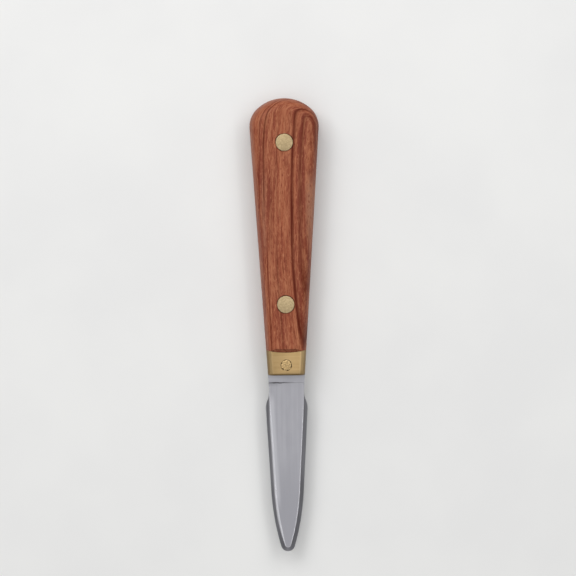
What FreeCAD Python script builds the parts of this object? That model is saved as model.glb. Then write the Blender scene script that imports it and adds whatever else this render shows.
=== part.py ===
import FreeCAD, Part
import math
import os

# A fixed-blade oyster knife in millimetres: full-tang blade, wooden scales and brass bolsters.
# It lies on its back: X runs across it, Y from the tip to the butt, Z up out of its front face.
# The origin is on the resting plane, in the middle of the overall length and width.

Vector = FreeCAD.Vector

# Overall sizes
handle_length = 102.0  # butt to the front of the bolsters
blade_length = 65.0  # front of the bolsters to the tip
tang_thickness = 2.5

# Handle outline, seen from the front
butt_width = 25.5  # across the shoulders, where the straight sides start
butt_shoulder = 11.0  # butt to the shoulders
shoulder_turn = 48.0  # degrees from straight across to where the shoulders' curves meet the crown
throat_width = 13.6  # across the front of the bolsters

# Wooden scales
scale_thickness = 6.0
scale_edge_radius = 5.0  # round-over along the sides and the butt
edge_limit_share = 0.9  # most of the thickness or half-width that the round-over may take
scale_ramp_length = 1.3  # slope that brings the wood down to the bolster

# Bolsters
bolster_length = 8.4  # on the centre line
bolster_thickness = 4.7
bolster_edge_radius = 0.8
joint_sag = 0.9  # how far the wood's rounded end stands into the bolster
glue_line = 0.05

# Bolster pin, peened flush on both sides
pin_diameter = 4.1
pin_inset = 3.75  # front of the bolsters to the pin
pin_rim_radius = 0.45

# Two-piece rivets: a post from the front pressed into a barrel from the back
butt_rivet_inset = 16.5  # butt to the rivet
neck_rivet_inset = 17.65  # end of the wood to the rivet
rivet_head_diameter = 6.3
rivet_head_thickness = 2.0
barrel_diameter = 4.0
barrel_bore = 2.8
barrel_mouth_gap = 0.3  # between the barrel's mouth and the post's head
post_end_gap = 0.8  # between the post's end and the floor of the bore
post_chamfer = 0.3
post_clearance = 0.02
hole_clearance = 0.05

# Blade outline, measured from the front of the bolsters
heel_inset = 12.7
heel_flare = 1.71  # how far each edge stands out from the line of the handle's sides at the heel
heel_radius = 8.0  # both curves of the step from the ricasso to the edges
fore_width = 11.2
fore_inset = 49.5
point_curve_radius = 90.0
tip_radius = 2.6

# Blade grind
grind_inset = 2.6  # front of the bolsters to the start of the ground faces
grind_depth = 0.15  # taken off each face where the grind starts
grind_radius = 1.0
point_thickness = 1.8  # of the ground blade at its tip
bevel_width = 1.6
edge_thickness = 0.6  # the edges are left blunt

cut_overrun = 1.0
bevel_overrun = 0.2
match_tolerance = 0.001

overall_length = handle_length + blade_length
butt_y = overall_length / 2
front_y = butt_y - handle_length
tip_y = -butt_y
joint_y = front_y + bolster_length
mid_z = scale_thickness + tang_thickness / 2
inner_z = scale_thickness + tang_thickness  # front face of the tang
top_z = 2 * mid_z
butt_rivet_y = butt_y - butt_rivet_inset
neck_rivet_y = joint_y + neck_rivet_inset
rivet_places = [butt_rivet_y, neck_rivet_y]
pin_y = front_y + pin_inset

across = Vector(1, 0, 0)
up = Vector(0, 0, 1)
middle = Vector(0, 0, mid_z)


def unit(vector):
    return vector / vector.Length


def mirrored_point(point):
    return Vector(-point.x, point.y, point.z)


def outward(start, end):
    """Normal of a line towards the butt, pointing away from the centre line."""
    along = unit(end - start)
    return Vector(along.y, -along.x, 0)


def centre_beside(point, normal, offset, other_centre, distance):
    """Centre at an offset from a line and a distance from another centre, on that centre's butt side."""
    drop = offset - (other_centre - point).dot(normal)
    along = Vector(-normal.y, normal.x, 0)
    return other_centre + normal * drop + along * math.sqrt(distance ** 2 - drop ** 2)


def line(start, end):
    return Part.LineSegment(start, end).toShape()


def arc(centre, start, end):
    """The shorter arc from start to end round a centre."""
    bisector = unit(start + end - centre * 2)
    halfway = centre + bisector * (start - centre).Length
    return Part.Arc(start, halfway, end).toShape()


def wire_of(edges):
    return Part.Wire(Part.sortEdges(edges)[0])


def with_mirror(edges):
    return edges + [edge.mirror(Vector(), across) for edge in edges]


# The straight sides run from the shoulders to the throat, and on along the ricasso.
throat_point = Vector(throat_width / 2, front_y, 0)
shoulder_point = Vector(butt_width / 2, butt_y - butt_shoulder, 0)
side_normal = outward(throat_point, shoulder_point)
side_slope = (shoulder_point.x - throat_point.x) / (shoulder_point.y - throat_point.y)
joint_half_width = throat_width / 2 + bolster_length * side_slope
joint_radius = (joint_half_width ** 2 + joint_sag ** 2) / (2 * joint_sag)
joint_centre = Vector(0, joint_y + joint_radius, 0)
shoulder_slant = math.radians(shoulder_turn)
shoulder_rise_share = (1 - math.sin(shoulder_slant)) / math.cos(shoulder_slant)
shoulder_radius = (butt_shoulder - shoulder_point.x * shoulder_rise_share) / (
    1 - side_normal.y - side_normal.x * shoulder_rise_share
)

# The blade's edges run from the heel to the fore end of their straight stretch, then curve to the tip.
heel_half_width = throat_width / 2 - heel_inset * side_slope + heel_flare
heel_point = Vector(heel_half_width, front_y - heel_inset, 0)
fore_point = Vector(fore_width / 2, front_y - fore_inset, 0)
edge_normal = outward(fore_point, heel_point)


def butt_edges():
    """Crown and shoulders of the butt, tangent to each other and to the straight sides."""
    slant = Vector(math.cos(shoulder_slant), math.sin(shoulder_slant), 0)
    centre = shoulder_point - side_normal * shoulder_radius
    crown_end = centre + slant * shoulder_radius
    crown_centre = crown_end - slant * (crown_end.x / slant.x)
    crown = arc(crown_centre, crown_end, mirrored_point(crown_end))
    return [crown] + with_mirror([arc(centre, crown_end, shoulder_point)])


def handle_outline():
    front = line(throat_point, mirrored_point(throat_point))
    return wire_of(butt_edges() + with_mirror([line(shoulder_point, throat_point)]) + [front])


def point_edges():
    """Both curves of the point and the rounded tip, and the place where the first curve starts."""
    tip_centre = Vector(0, tip_y + tip_radius, 0)
    reach = point_curve_radius - tip_radius
    centre = centre_beside(heel_point, edge_normal, -point_curve_radius, tip_centre, reach)
    curve_start = centre + edge_normal * point_curve_radius
    curve_end = tip_centre + unit(tip_centre - centre) * tip_radius
    tip = arc(tip_centre, curve_end, mirrored_point(curve_end))
    return with_mirror([arc(centre, curve_start, curve_end)]) + [tip], curve_start


def heel_edges():
    """Step from the ricasso's side out to the edge: a hollow curve into a round one."""
    round_centre = heel_point - edge_normal * heel_radius
    hollow_centre = centre_beside(throat_point, side_normal, heel_radius, round_centre, 2 * heel_radius)
    change_point = (round_centre + hollow_centre) / 2
    ricasso_end = hollow_centre - side_normal * heel_radius
    step = [arc(hollow_centre, ricasso_end, change_point), arc(round_centre, change_point, heel_point)]
    return step, ricasso_end


def blade_outline():
    """Tang, ricasso, edges and point in one outline."""
    point, curve_start = point_edges()
    heel, ricasso_end = heel_edges()
    sides = [line(shoulder_point, ricasso_end)] + heel + [line(heel_point, curve_start)]
    return wire_of(butt_edges() + with_mirror(sides) + point)


def slab(outline, thickness):
    return Part.Face(outline).extrude(up * thickness)


def hole(radius, at_y, bottom, depth):
    return Part.makeCylinder(radius, depth, Vector(0, at_y, bottom))


def turned(profile, at_y, degrees=360):
    """Pairs of radius and height revolved about an upright axis, from +X towards the tip."""
    points = [Vector(radius, 0, height) for radius, height in profile]
    face = Part.Face(Part.makePolygon(points + points[:1]))
    solid = face.revolve(Vector(), -up, degrees)
    return solid.translated(Vector(0, at_y, 0))


def edges_at(shape, height):
    """Edges that lie at one height."""
    return [
        edge
        for edge in shape.Edges
        if all(abs(vertex.Z - height) < match_tolerance for vertex in edge.Vertexes)
    ]


def mirrored_to_back(front):
    return front.mirror(middle, up)


def face_grind():
    """What is ground off the blade's front face: a hollow start, then a flat that thins towards the tip."""
    start_y = front_y - grind_inset
    hollow_run = math.sqrt(2 * grind_radius * grind_depth - grind_depth ** 2)
    start = Vector(0, start_y, inner_z)
    settled = Vector(0, start_y - hollow_run, inner_z - grind_depth)
    hollow_centre = settled + up * grind_radius
    flat_slope = (settled.z - mid_z - point_thickness / 2) / (settled.y - tip_y)
    far = Vector(0, tip_y - cut_overrun, mid_z + point_thickness / 2 - flat_slope * cut_overrun)
    far_above = Vector(0, far.y, inner_z + cut_overrun)
    start_above = Vector(0, start_y, inner_z + cut_overrun)
    edges = [
        arc(hollow_centre, start, settled),
        line(settled, far),
        line(far, far_above),
        line(far_above, start_above),
        line(start_above, start),
    ]
    reach = heel_half_width + cut_overrun
    return Part.Face(wire_of(edges)).extrude(across * (2 * reach)).translated(across * -reach)


def edge_bevel():
    """What is ground off the front of both edges: a wedge swept from heel to heel round the point."""
    point, curve_start = point_edges()
    heel, ricasso_end = heel_edges()
    run_in = heel_point + unit(heel_point - fore_point) * (ricasso_end - heel_point).Length
    path = wire_of(with_mirror([line(run_in, curve_start)]) + point)
    flat_height = tang_thickness / 2 - grind_depth
    slope = (flat_height - edge_thickness / 2) / bevel_width
    outer_low = edge_normal * bevel_overrun + up * (edge_thickness / 2 - slope * bevel_overrun)
    inner_high = edge_normal * (-bevel_width - bevel_overrun) + up * (flat_height + slope * bevel_overrun)
    outer_high = edge_normal * bevel_overrun + up * inner_high.z
    section = [run_in + corner for corner in (outer_low, inner_high, outer_high, outer_low)]
    sweep = path.makePipeShell([Part.makePolygon(section)], True, False)
    return sweep.translated(middle)


def blade():
    """Blade and full tang from one plate."""
    stock = slab(blade_outline(), tang_thickness).translated(up * scale_thickness)
    grinds = [face_grind(), edge_bevel()]
    cuts = grinds + [mirrored_to_back(cut) for cut in grinds]
    barrel_hole = barrel_diameter / 2 + hole_clearance
    cuts += [hole(barrel_hole, place, scale_thickness, tang_thickness) for place in rivet_places]
    cuts.append(hole(pin_diameter / 2 + hole_clearance, pin_y, scale_thickness, tang_thickness))
    return stock.cut(cuts)


def handle_half():
    """Front half of the handle, wood and bolster in one, with its sides and butt rounded over."""
    block = slab(handle_outline(), scale_thickness).translated(up * inner_z)
    rim = [edge for edge in edges_at(block, top_z) if edge.CenterOfMass.y > front_y + match_tolerance]
    radius_limit = min(scale_thickness, throat_width / 2, shoulder_radius) * edge_limit_share
    return block.makeFillet(min(scale_edge_radius, radius_limit), rim)


def bolster_space(end_radius):
    """Space in front of the wood's rounded end."""
    length = joint_centre.y - front_y + cut_overrun
    corner = Vector(-butt_width / 2, front_y - cut_overrun, inner_z)
    space = Part.makeBox(butt_width, length, scale_thickness, corner)
    return space.cut(Part.makeCylinder(end_radius, scale_thickness, joint_centre + up * inner_z))


def ramp():
    """Half ring that slopes the end of the wood down to the bolster's face."""
    low = inner_z + bolster_thickness
    rise = top_z - low
    steepness = rise / scale_ramp_length
    outer = joint_radius + cut_overrun
    inner = joint_radius - scale_ramp_length - cut_overrun
    profile = [
        (outer, low - steepness * cut_overrun),
        (outer, top_z + steepness * cut_overrun),
        (inner, top_z + steepness * cut_overrun),
    ]
    return turned(profile, joint_centre.y, 180)


def front_scale():
    """Wooden scale, with stepped holes for the rivets."""
    head_hole = rivet_head_diameter / 2 + hole_clearance
    barrel_hole = barrel_diameter / 2 + hole_clearance
    cuts = [bolster_space(joint_radius), ramp()]
    for place in rivet_places:
        cuts.append(hole(barrel_hole, place, inner_z, scale_thickness))
        cuts.append(hole(head_hole, place, top_z - rivet_head_thickness, rivet_head_thickness))
    return handle_half().cut(cuts)


def front_bolster():
    """Brass bolster: the end of the rounded handle, faced down lower than the wood."""
    plate_top = inner_z + bolster_thickness
    plate = handle_half().common(bolster_space(joint_radius + glue_line))
    corner = Vector(-butt_width / 2, front_y - cut_overrun, plate_top)
    plate = plate.cut(Part.makeBox(butt_width, handle_length, scale_thickness, corner))
    softened = [edge for edge in edges_at(plate, plate_top) if edge.CenterOfMass.y < joint_y]
    plate = plate.makeFillet(bolster_edge_radius, softened)
    return plate.cut(hole(pin_diameter / 2 + hole_clearance, pin_y, inner_z, bolster_thickness))


def bolster_pin():
    """Pin through both bolsters and the tang, with rounded rims."""
    length = tang_thickness + 2 * bolster_thickness
    pin = Part.makeCylinder(pin_diameter / 2, length, Vector(0, pin_y, scale_thickness - bolster_thickness))
    rims = [edge for edge in pin.Edges if edge.Closed]
    return pin.makeFillet(pin_rim_radius, rims)


def rivet_post(at_y):
    """Front half of a rivet: a flat head with a solid post."""
    head_radius = rivet_head_diameter / 2
    post_radius = barrel_bore / 2 - post_clearance
    under_head = top_z - rivet_head_thickness
    end = rivet_head_thickness + post_end_gap
    profile = [
        (0, top_z),
        (head_radius, top_z),
        (head_radius, under_head),
        (post_radius, under_head),
        (post_radius, end + post_chamfer),
        (post_radius - post_chamfer, end),
        (0, end),
    ]
    return turned(profile, at_y)


def rivet_barrel(at_y):
    """Back half of a rivet: a flat head with a blind barrel."""
    head_radius = rivet_head_diameter / 2
    barrel_radius = barrel_diameter / 2
    mouth = top_z - rivet_head_thickness - barrel_mouth_gap
    profile = [
        (0, 0),
        (head_radius, 0),
        (head_radius, rivet_head_thickness),
        (barrel_radius, rivet_head_thickness),
        (barrel_radius, mouth),
        (barrel_bore / 2, mouth),
        (barrel_bore / 2, rivet_head_thickness),
        (0, rivet_head_thickness),
    ]
    return turned(profile, at_y)


def build():
    scale = front_scale()
    bolster = front_bolster()
    return {
        "blade": blade(),
        "front_scale": scale,
        "back_scale": mirrored_to_back(scale),
        "front_bolster": bolster,
        "back_bolster": mirrored_to_back(bolster),
        "bolster_pin": bolster_pin(),
        "butt_rivet_post": rivet_post(butt_rivet_y),
        "butt_rivet_barrel": rivet_barrel(butt_rivet_y),
        "neck_rivet_post": rivet_post(neck_rivet_y),
        "neck_rivet_barrel": rivet_barrel(neck_rivet_y),
    }


os.makedirs("parts", exist_ok=True)
for node, shape in build().items():
    shape.exportStep("parts/" + node + ".step")
    print(node, "solids", len(shape.Solids), "valid", shape.isValid(), "volume", round(shape.Volume, 1))
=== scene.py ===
"""Looks of the oyster knife: its dressed pieces, their finishes and a plain studio.

Forms are drawn in millimetres in the part's own frame and brought to metres when a piece is finished.
"""

import logging
import math
from collections.abc import Callable, Iterable, Sequence
from dataclasses import dataclass
from enum import Enum
from functools import cache

import bmesh
import bpy
from bmesh.types import BMEdge, BMesh, BMFace, BMVert
from bpy.types import Material, Node, NodeSocket, NodeTree
from mathutils import Matrix, Vector
from mathutils.geometry import intersect_point_line


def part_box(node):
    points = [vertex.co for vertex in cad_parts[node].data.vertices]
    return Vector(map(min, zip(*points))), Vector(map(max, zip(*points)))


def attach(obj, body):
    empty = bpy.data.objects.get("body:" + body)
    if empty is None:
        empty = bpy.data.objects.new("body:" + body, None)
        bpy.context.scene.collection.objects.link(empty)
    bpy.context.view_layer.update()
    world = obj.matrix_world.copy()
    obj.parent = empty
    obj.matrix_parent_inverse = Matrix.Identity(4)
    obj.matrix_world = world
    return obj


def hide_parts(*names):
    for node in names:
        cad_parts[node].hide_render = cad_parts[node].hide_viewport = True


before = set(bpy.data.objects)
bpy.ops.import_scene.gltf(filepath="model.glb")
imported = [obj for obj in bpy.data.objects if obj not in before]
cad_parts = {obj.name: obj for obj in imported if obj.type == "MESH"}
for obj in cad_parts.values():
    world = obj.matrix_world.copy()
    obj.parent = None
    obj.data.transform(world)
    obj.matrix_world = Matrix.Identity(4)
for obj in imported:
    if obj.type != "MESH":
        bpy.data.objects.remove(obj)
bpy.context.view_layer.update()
log = logging.getLogger("oyster_knife")

MILLIMETRE = 0.001
NEAR = 0.0005
WELD = 0.004
TURN_STEPS = 72
SHARP_ANGLE = math.radians(28)
UP = Vector((0, 0, 1))
ACROSS = Vector((1, 0, 0))
ALONG = Vector((0, 1, 0))

Edges = list[BMEdge]
Holes = list[tuple[float, Edges]]
Reach = Callable[[Vector], bool]
Colour = tuple[float, float, float]
Lines = tuple[float, float, float]
Span = tuple[float, ...]
Value = NodeSocket | float


class Side(Enum):
    """Side of the tang that a scale or a bolster lies on."""

    FRONT = "front"
    BACK = "back"


class LineRun(Enum):
    """Which way the lines of a ground or sanded face run, as lines per millimetre along X, Y and Z."""

    LENGTHWISE = (6.0, 0.10, 6.0)
    CROSSWISE = (0.16, 5.0, 5.0)


def at(x: float, y: float, z: float = 0.0) -> Vector:
    """Point at a place in millimetres."""
    return Vector((x, y, z))


def mirrored(vector: Vector) -> Vector:
    """A point or a direction on the other side of the centre line."""
    return at(-vector.x, vector.y, vector.z)


def clamped(value: float, low: float = 0.0, high: float = 1.0) -> float:
    """A value kept between two limits."""
    return min(max(value, low), high)


def of_kind(items: Iterable, kind: type) -> list:
    """The vertices or the edges in an operator's result."""
    return [item for item in items if isinstance(item, kind)]


def lies_at(edge: BMEdge, axis: Vector, place: float) -> bool:
    """Tells whether both ends of an edge lie at one place along an axis."""
    return all(abs(vert.co.dot(axis) - place) < NEAR for vert in edge.verts)


def outward(start: Vector, end: Vector) -> Vector:
    """Normal of a line drawn towards the butt, pointing away from the centre line."""
    along = (end - start).normalized()
    return at(along.y, -along.x)


def centre_beside(point: Vector, normal: Vector, offset: float, other: Vector, distance: float) -> Vector:
    """Centre of a curve that touches a line and another curve.

    Args:
        point: Point on the line.
        normal: Normal of the line.
        offset: How far the centre stands from the line, along the normal.
        other: Centre of the other curve.
        distance: Distance between the two centres.

    Returns:
        The centre on the butt side of the other one.
    """
    drop = offset - (other - point).dot(normal)
    along = at(-normal.y, normal.x)
    return other + normal * drop + along * math.sqrt(distance ** 2 - drop ** 2)


class DrawnLine:
    """A line drawn in a bmesh from its first point with straight runs and arcs."""

    def __init__(self, mesh: BMesh, start: Vector) -> None:
        """Starts the line at a point."""
        self.mesh = mesh
        self.end = mesh.verts.new(start)

    def run_to(self, *points: Vector) -> None:
        """Draws straight runs from point to point.

        Args:
            points: The points, in order.
        """
        for point in points:
            self.end = bmesh.ops.extrude_vert_indiv(self.mesh, verts=[self.end])["verts"][0]
            self.end.co = point

    def turn_to(self, centre: Vector, point: Vector, steps: int, axis: Vector = UP) -> None:
        """Draws the shorter arc round a centre.

        Args:
            centre: Centre of the arc.
            point: Where the arc ends.
            steps: Number of straight steps in the arc.
            axis: Axis that the arc turns about.
        """
        start = self.end.co - centre
        target = point - centre
        angle = math.atan2(axis.dot(start.cross(target)), start.dot(target))
        grown = bmesh.ops.spin(
            self.mesh, geom=[self.end], cent=centre, axis=axis, dvec=(0, 0, 0), angle=angle, steps=steps
        )
        self.end = of_kind(grown["geom_last"], BMVert)[0]
        self.end.co = point


class Form:
    """A solid under construction, in millimetres, with the operations that the pieces share."""

    def __init__(self) -> None:
        """Starts with an empty mesh."""
        self.mesh = bmesh.new()

    def line(self, start: Vector) -> DrawnLine:
        """Starts a drawn line."""
        return DrawnLine(self.mesh, start)

    def everything(self) -> list:
        """All vertices, edges and faces."""
        return self.mesh.verts[:] + self.mesh.edges[:] + self.mesh.faces[:]

    def raise_outline(self, base: float, top: float) -> None:
        """Mirrors the drawn half outline, fills it and raises it to a solid.

        Args:
            base: Height of the solid's underside.
            top: Height of its upper face.
        """
        bmesh.ops.translate(self.mesh, vec=UP * base, verts=self.mesh.verts[:])
        bmesh.ops.mirror(self.mesh, geom=self.everything(), axis="X", merge_dist=NEAR)
        bmesh.ops.edgeloop_fill(self.mesh, edges=self.mesh.edges[:])
        raised = bmesh.ops.extrude_face_region(self.mesh, geom=self.mesh.faces[:])
        bmesh.ops.translate(self.mesh, vec=UP * (top - base), verts=of_kind(raised["geom"], BMVert))

    def turn_profile(self, at_y: float, steps: int = TURN_STEPS) -> None:
        """Turns the drawn profile round an upright axis on the centre line.

        Args:
            at_y: Place of the axis.
            steps: Number of steps in the full turn.
        """
        bmesh.ops.translate(self.mesh, vec=ALONG * at_y, verts=self.mesh.verts[:])
        bmesh.ops.spin(
            self.mesh, geom=self.everything(), cent=(0, at_y, 0), axis=UP, dvec=(0, 0, 0),
            angle=math.tau, steps=steps, use_merge=True,
        )
        bmesh.ops.remove_doubles(self.mesh, verts=self.mesh.verts[:], dist=NEAR)

    def edges_where(self, test: Callable[[BMEdge], bool]) -> Edges:
        """Edges that pass a test, with all faces turned outwards first."""
        bmesh.ops.recalc_face_normals(self.mesh, faces=self.mesh.faces[:])
        return [edge for edge in self.mesh.edges if test(edge)]

    def round_over(self, edges: Edges, width: float, segments: int) -> list[BMVert]:
        """Rounds edges over.

        Args:
            edges: Edges to round.
            width: How far the rounding reaches into the faces beside an edge.
            segments: Number of strips in the rounding.

        Returns:
            The vertices of the strips.
        """
        rounded = bmesh.ops.bevel(
            self.mesh, geom=edges, offset=width, offset_type="OFFSET", affect="EDGES", segments=segments,
            profile=0.5, material=-1, clamp_overlap=False,
        )
        bmesh.ops.remove_doubles(self.mesh, verts=self.mesh.verts[:], dist=WELD)
        return [vert for vert in rounded["verts"] if vert.is_valid]

    def score(self, point: Vector, normal: Vector) -> None:
        """Divides the faces along a plane and keeps both sides."""
        bmesh.ops.bisect_plane(self.mesh, geom=self.everything(), dist=NEAR, plane_co=point, plane_no=normal)

    def grind(self, point: Vector, normal: Vector, reach: Reach | None = None) -> None:
        """Takes away what stands above a plane and closes the cut.

        Args:
            point: Point on the plane.
            normal: Normal of the plane, pointing to what is taken away.
            reach: Which points the cut may touch; all of them if it is left out.
        """
        cut_away = self.everything()
        if reach is not None:
            faces = [face for face in self.mesh.faces if all(reach(vert.co) for vert in face.verts)]
            verts = dict.fromkeys(vert for face in faces for vert in face.verts)
            edges = dict.fromkeys(edge for face in faces for edge in face.edges)
            cut_away = [*verts, *edges, *faces]
        done = bmesh.ops.bisect_plane(
            self.mesh, geom=cut_away, dist=NEAR, plane_co=point, plane_no=normal, clear_outer=True
        )
        rim = [edge for edge in of_kind(done["geom_cut"], BMEdge) if edge.is_boundary]
        if rim:
            bmesh.ops.edgeloop_fill(self.mesh, edges=rim)

    def grind_both(self, point: Vector, normal: Vector, reach: Reach | None = None) -> None:
        """Grinds a plane on one side of the knife and then its twin on the other."""
        self.grind(point, normal, reach)
        self.grind(mirrored(point), mirrored(normal), reach)

    def open_flat(self, height: float, reach: Reach | None = None) -> Edges:
        """Takes away the flat at one height, so that it can be closed again round holes.

        Args:
            height: Height of the flat.
            reach: Which points belong to it; all at that height if it is left out.

        Returns:
            The rim that is left.
        """
        def on_flat(point: Vector) -> bool:
            """Tells whether a point lies on the flat."""
            return abs(point.z - height) < NEAR and (reach is None or reach(point))

        flat = [face for face in self.mesh.faces if all(on_flat(vert.co) for vert in face.verts)]
        inside = set(flat)
        rim = [edge for face in flat for edge in face.edges if not inside.issuperset(edge.link_faces)]
        bmesh.ops.delete(self.mesh, geom=flat, context="FACES")
        return rim

    def close_flat(self, edges: Edges) -> None:
        """Closes a flat between its rim and the rings of its holes."""
        bmesh.ops.triangle_fill(self.mesh, edges=edges, use_beauty=True, normal=UP)

    def start_holes(self, height: float, sizes: dict[float, float], reach: Reach | None = None) -> Holes:
        """Opens round holes on the centre line of a flat.

        Args:
            height: Height of the flat.
            sizes: Radius of each hole by its place along the knife.
            reach: Which points belong to the flat; all at that height if it is left out.

        Returns:
            Place and ring of each hole.
        """
        rim = self.open_flat(height, reach)
        holes = []
        for at_y, radius in sizes.items():
            place = Matrix.Translation((0, at_y, height))
            made = bmesh.ops.create_circle(
                self.mesh, cap_ends=False, radius=radius, segments=TURN_STEPS, matrix=place
            )
            ring = dict.fromkeys(edge for vert in made["verts"] for edge in vert.link_edges)
            holes.append((at_y, list(ring)))
        self.close_flat(rim + [edge for _, ring in holes for edge in ring])
        return holes

    def sink(self, ring: Edges, depth: float, at_y: float, share: float = 1.0) -> Edges:
        """Carries a hole's wall on from its last ring.

        Args:
            ring: Last ring of the hole.
            depth: How far the wall goes down.
            at_y: Place of the hole along the knife.
            share: Radius of the new ring as a share of the last one.

        Returns:
            The new ring's edges.
        """
        grown = bmesh.ops.extrude_edge_only(self.mesh, edges=ring)["geom"]
        verts = of_kind(grown, BMVert)
        bmesh.ops.translate(self.mesh, vec=UP * -depth, verts=verts)
        axis = Matrix.Translation((0, -at_y, 0))
        bmesh.ops.scale(self.mesh, vec=(share, share, 1), space=axis, verts=verts)
        fresh = set(verts)
        return [edge for edge in of_kind(grown, BMEdge) if fresh.issuperset(edge.verts)]

    def turn_to_back(self, mid_z: float) -> None:
        """Mirrors the form to the back of the knife."""
        space = Matrix.Translation((0, 0, -mid_z))
        bmesh.ops.scale(self.mesh, vec=(1, 1, -1), space=space, verts=self.mesh.verts[:])

    def finish(self, name: str, node: str, slot: str, *materials: Material) -> None:
        """Makes the form a piece of the knife that stands for a node of the frame.

        Args:
            name: Name of the piece.
            node: Node of the frame that it stands for.
            slot: Material slot of the record; not used.
            materials: Its finishes, in the order that its faces number them.
        """
        bmesh.ops.remove_doubles(self.mesh, verts=self.mesh.verts[:], dist=NEAR)
        bmesh.ops.recalc_face_normals(self.mesh, faces=self.mesh.faces[:])
        bmesh.ops.scale(self.mesh, vec=(MILLIMETRE,) * 3, verts=self.mesh.verts[:])
        for face in self.mesh.faces:
            face.smooth = True
        data = bpy.data.meshes.new(name)
        self.mesh.to_mesh(data)
        self.mesh.free()
        data.set_sharp_from_angle(angle=SHARP_ANGLE)
        for material in materials:
            data.materials.append(material)
        piece = bpy.data.objects.new(name, data)
        bpy.context.scene.collection.objects.link(piece)
        piece.modifiers.new("flats_lead", "WEIGHTED_NORMAL").keep_sharp = True
        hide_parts(node)
        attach(piece, "root")
        log.info("%s: %d faces, stands for %s", name, len(data.polygons), node)


@dataclass(frozen=True)
class KnifePlan:
    """Places read from the frame, and the outline and sizes that the pieces share.

    Lengths are in millimetres and the shoulder's turn is in degrees.
    """

    butt_y: float
    tip_y: float
    front_y: float
    joint_y: float
    inner_z: float
    mid_z: float
    top_z: float
    plate_z: float
    pin_y: float
    rivet_places: tuple[float, float]
    butt_shoulder: float = 11.0
    shoulder_half: float = 12.75
    shoulder_turn: float = 48.0
    throat_half: float = 6.8
    joint_sag: float = 0.9
    butt_steps: int = 16
    edge_radius: float = 5.0
    edge_strips: int = 16
    head_depth: float = 2.0
    barrel_hole: float = 2.05
    pin_hole: float = 2.10

    @classmethod
    def from_frame(cls) -> "KnifePlan":
        """Reads the places from the boxes of the frame's nodes.

        Returns:
            The plan.
        """
        def box(node: str) -> tuple[Vector, Vector]:
            """Corners of a node in millimetres."""
            low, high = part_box(node)
            return low / MILLIMETRE, high / MILLIMETRE

        def centre(node: str) -> Vector:
            """Middle of a node in millimetres."""
            low, high = box(node)
            return (low + high) / 2

        blade_low, blade_high = box("blade")
        scale_low, scale_high = box("front_scale")
        bolster_low, bolster_high = box("front_bolster")
        return cls(
            butt_y=blade_high.y,
            tip_y=blade_low.y,
            front_y=bolster_low.y,
            joint_y=scale_low.y,
            inner_z=scale_low.z,
            mid_z=centre("blade").z,
            top_z=scale_high.z,
            plate_z=bolster_high.z,
            pin_y=centre("bolster_pin").y,
            rivet_places=(centre("butt_rivet_post").y, centre("neck_rivet_post").y),
        )

    @property
    def throat(self) -> Vector:
        """Corner of the outline at the front of the bolsters."""
        return at(self.throat_half, self.front_y)

    @property
    def shoulder(self) -> Vector:
        """Point where the straight sides start below the butt."""
        return at(self.shoulder_half, self.butt_y - self.butt_shoulder)

    @property
    def side_normal(self) -> Vector:
        """Normal of the straight sides."""
        return outward(self.throat, self.shoulder)

    @property
    def side_slope(self) -> float:
        """How much wider the handle gets for each millimetre towards the butt."""
        run = self.shoulder - self.throat
        return run.x / run.y

    @property
    def joint_radius(self) -> float:
        """Radius of the wood's rounded end."""
        half_width = self.side_at(self.joint_y).x
        return (half_width ** 2 + self.joint_sag ** 2) / (2 * self.joint_sag)

    def side_at(self, y: float) -> Vector:
        """Point of the straight side at a place along the knife."""
        return at(self.throat_half + (y - self.front_y) * self.side_slope, y)

    def draw_butt(self, form: Form) -> DrawnLine:
        """Starts a half outline at the butt and draws crown and shoulder.

        Args:
            form: Form to draw in.

        Returns:
            The line, ending at the shoulder.
        """
        slant = math.radians(self.shoulder_turn)
        rise_share = (1 - math.sin(slant)) / math.cos(slant)
        normal = self.side_normal
        radius = (self.butt_shoulder - self.shoulder.x * rise_share) / (1 - normal.y - normal.x * rise_share)
        lean = at(math.cos(slant), math.sin(slant))
        centre = self.shoulder - normal * radius
        crown_end = centre + lean * radius
        crown_centre = crown_end - lean * (crown_end.x / lean.x)
        drawn = form.line(at(0, self.butt_y))
        drawn.turn_to(crown_centre, crown_end, self.butt_steps)
        drawn.turn_to(centre, self.shoulder, self.butt_steps)
        return drawn


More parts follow.
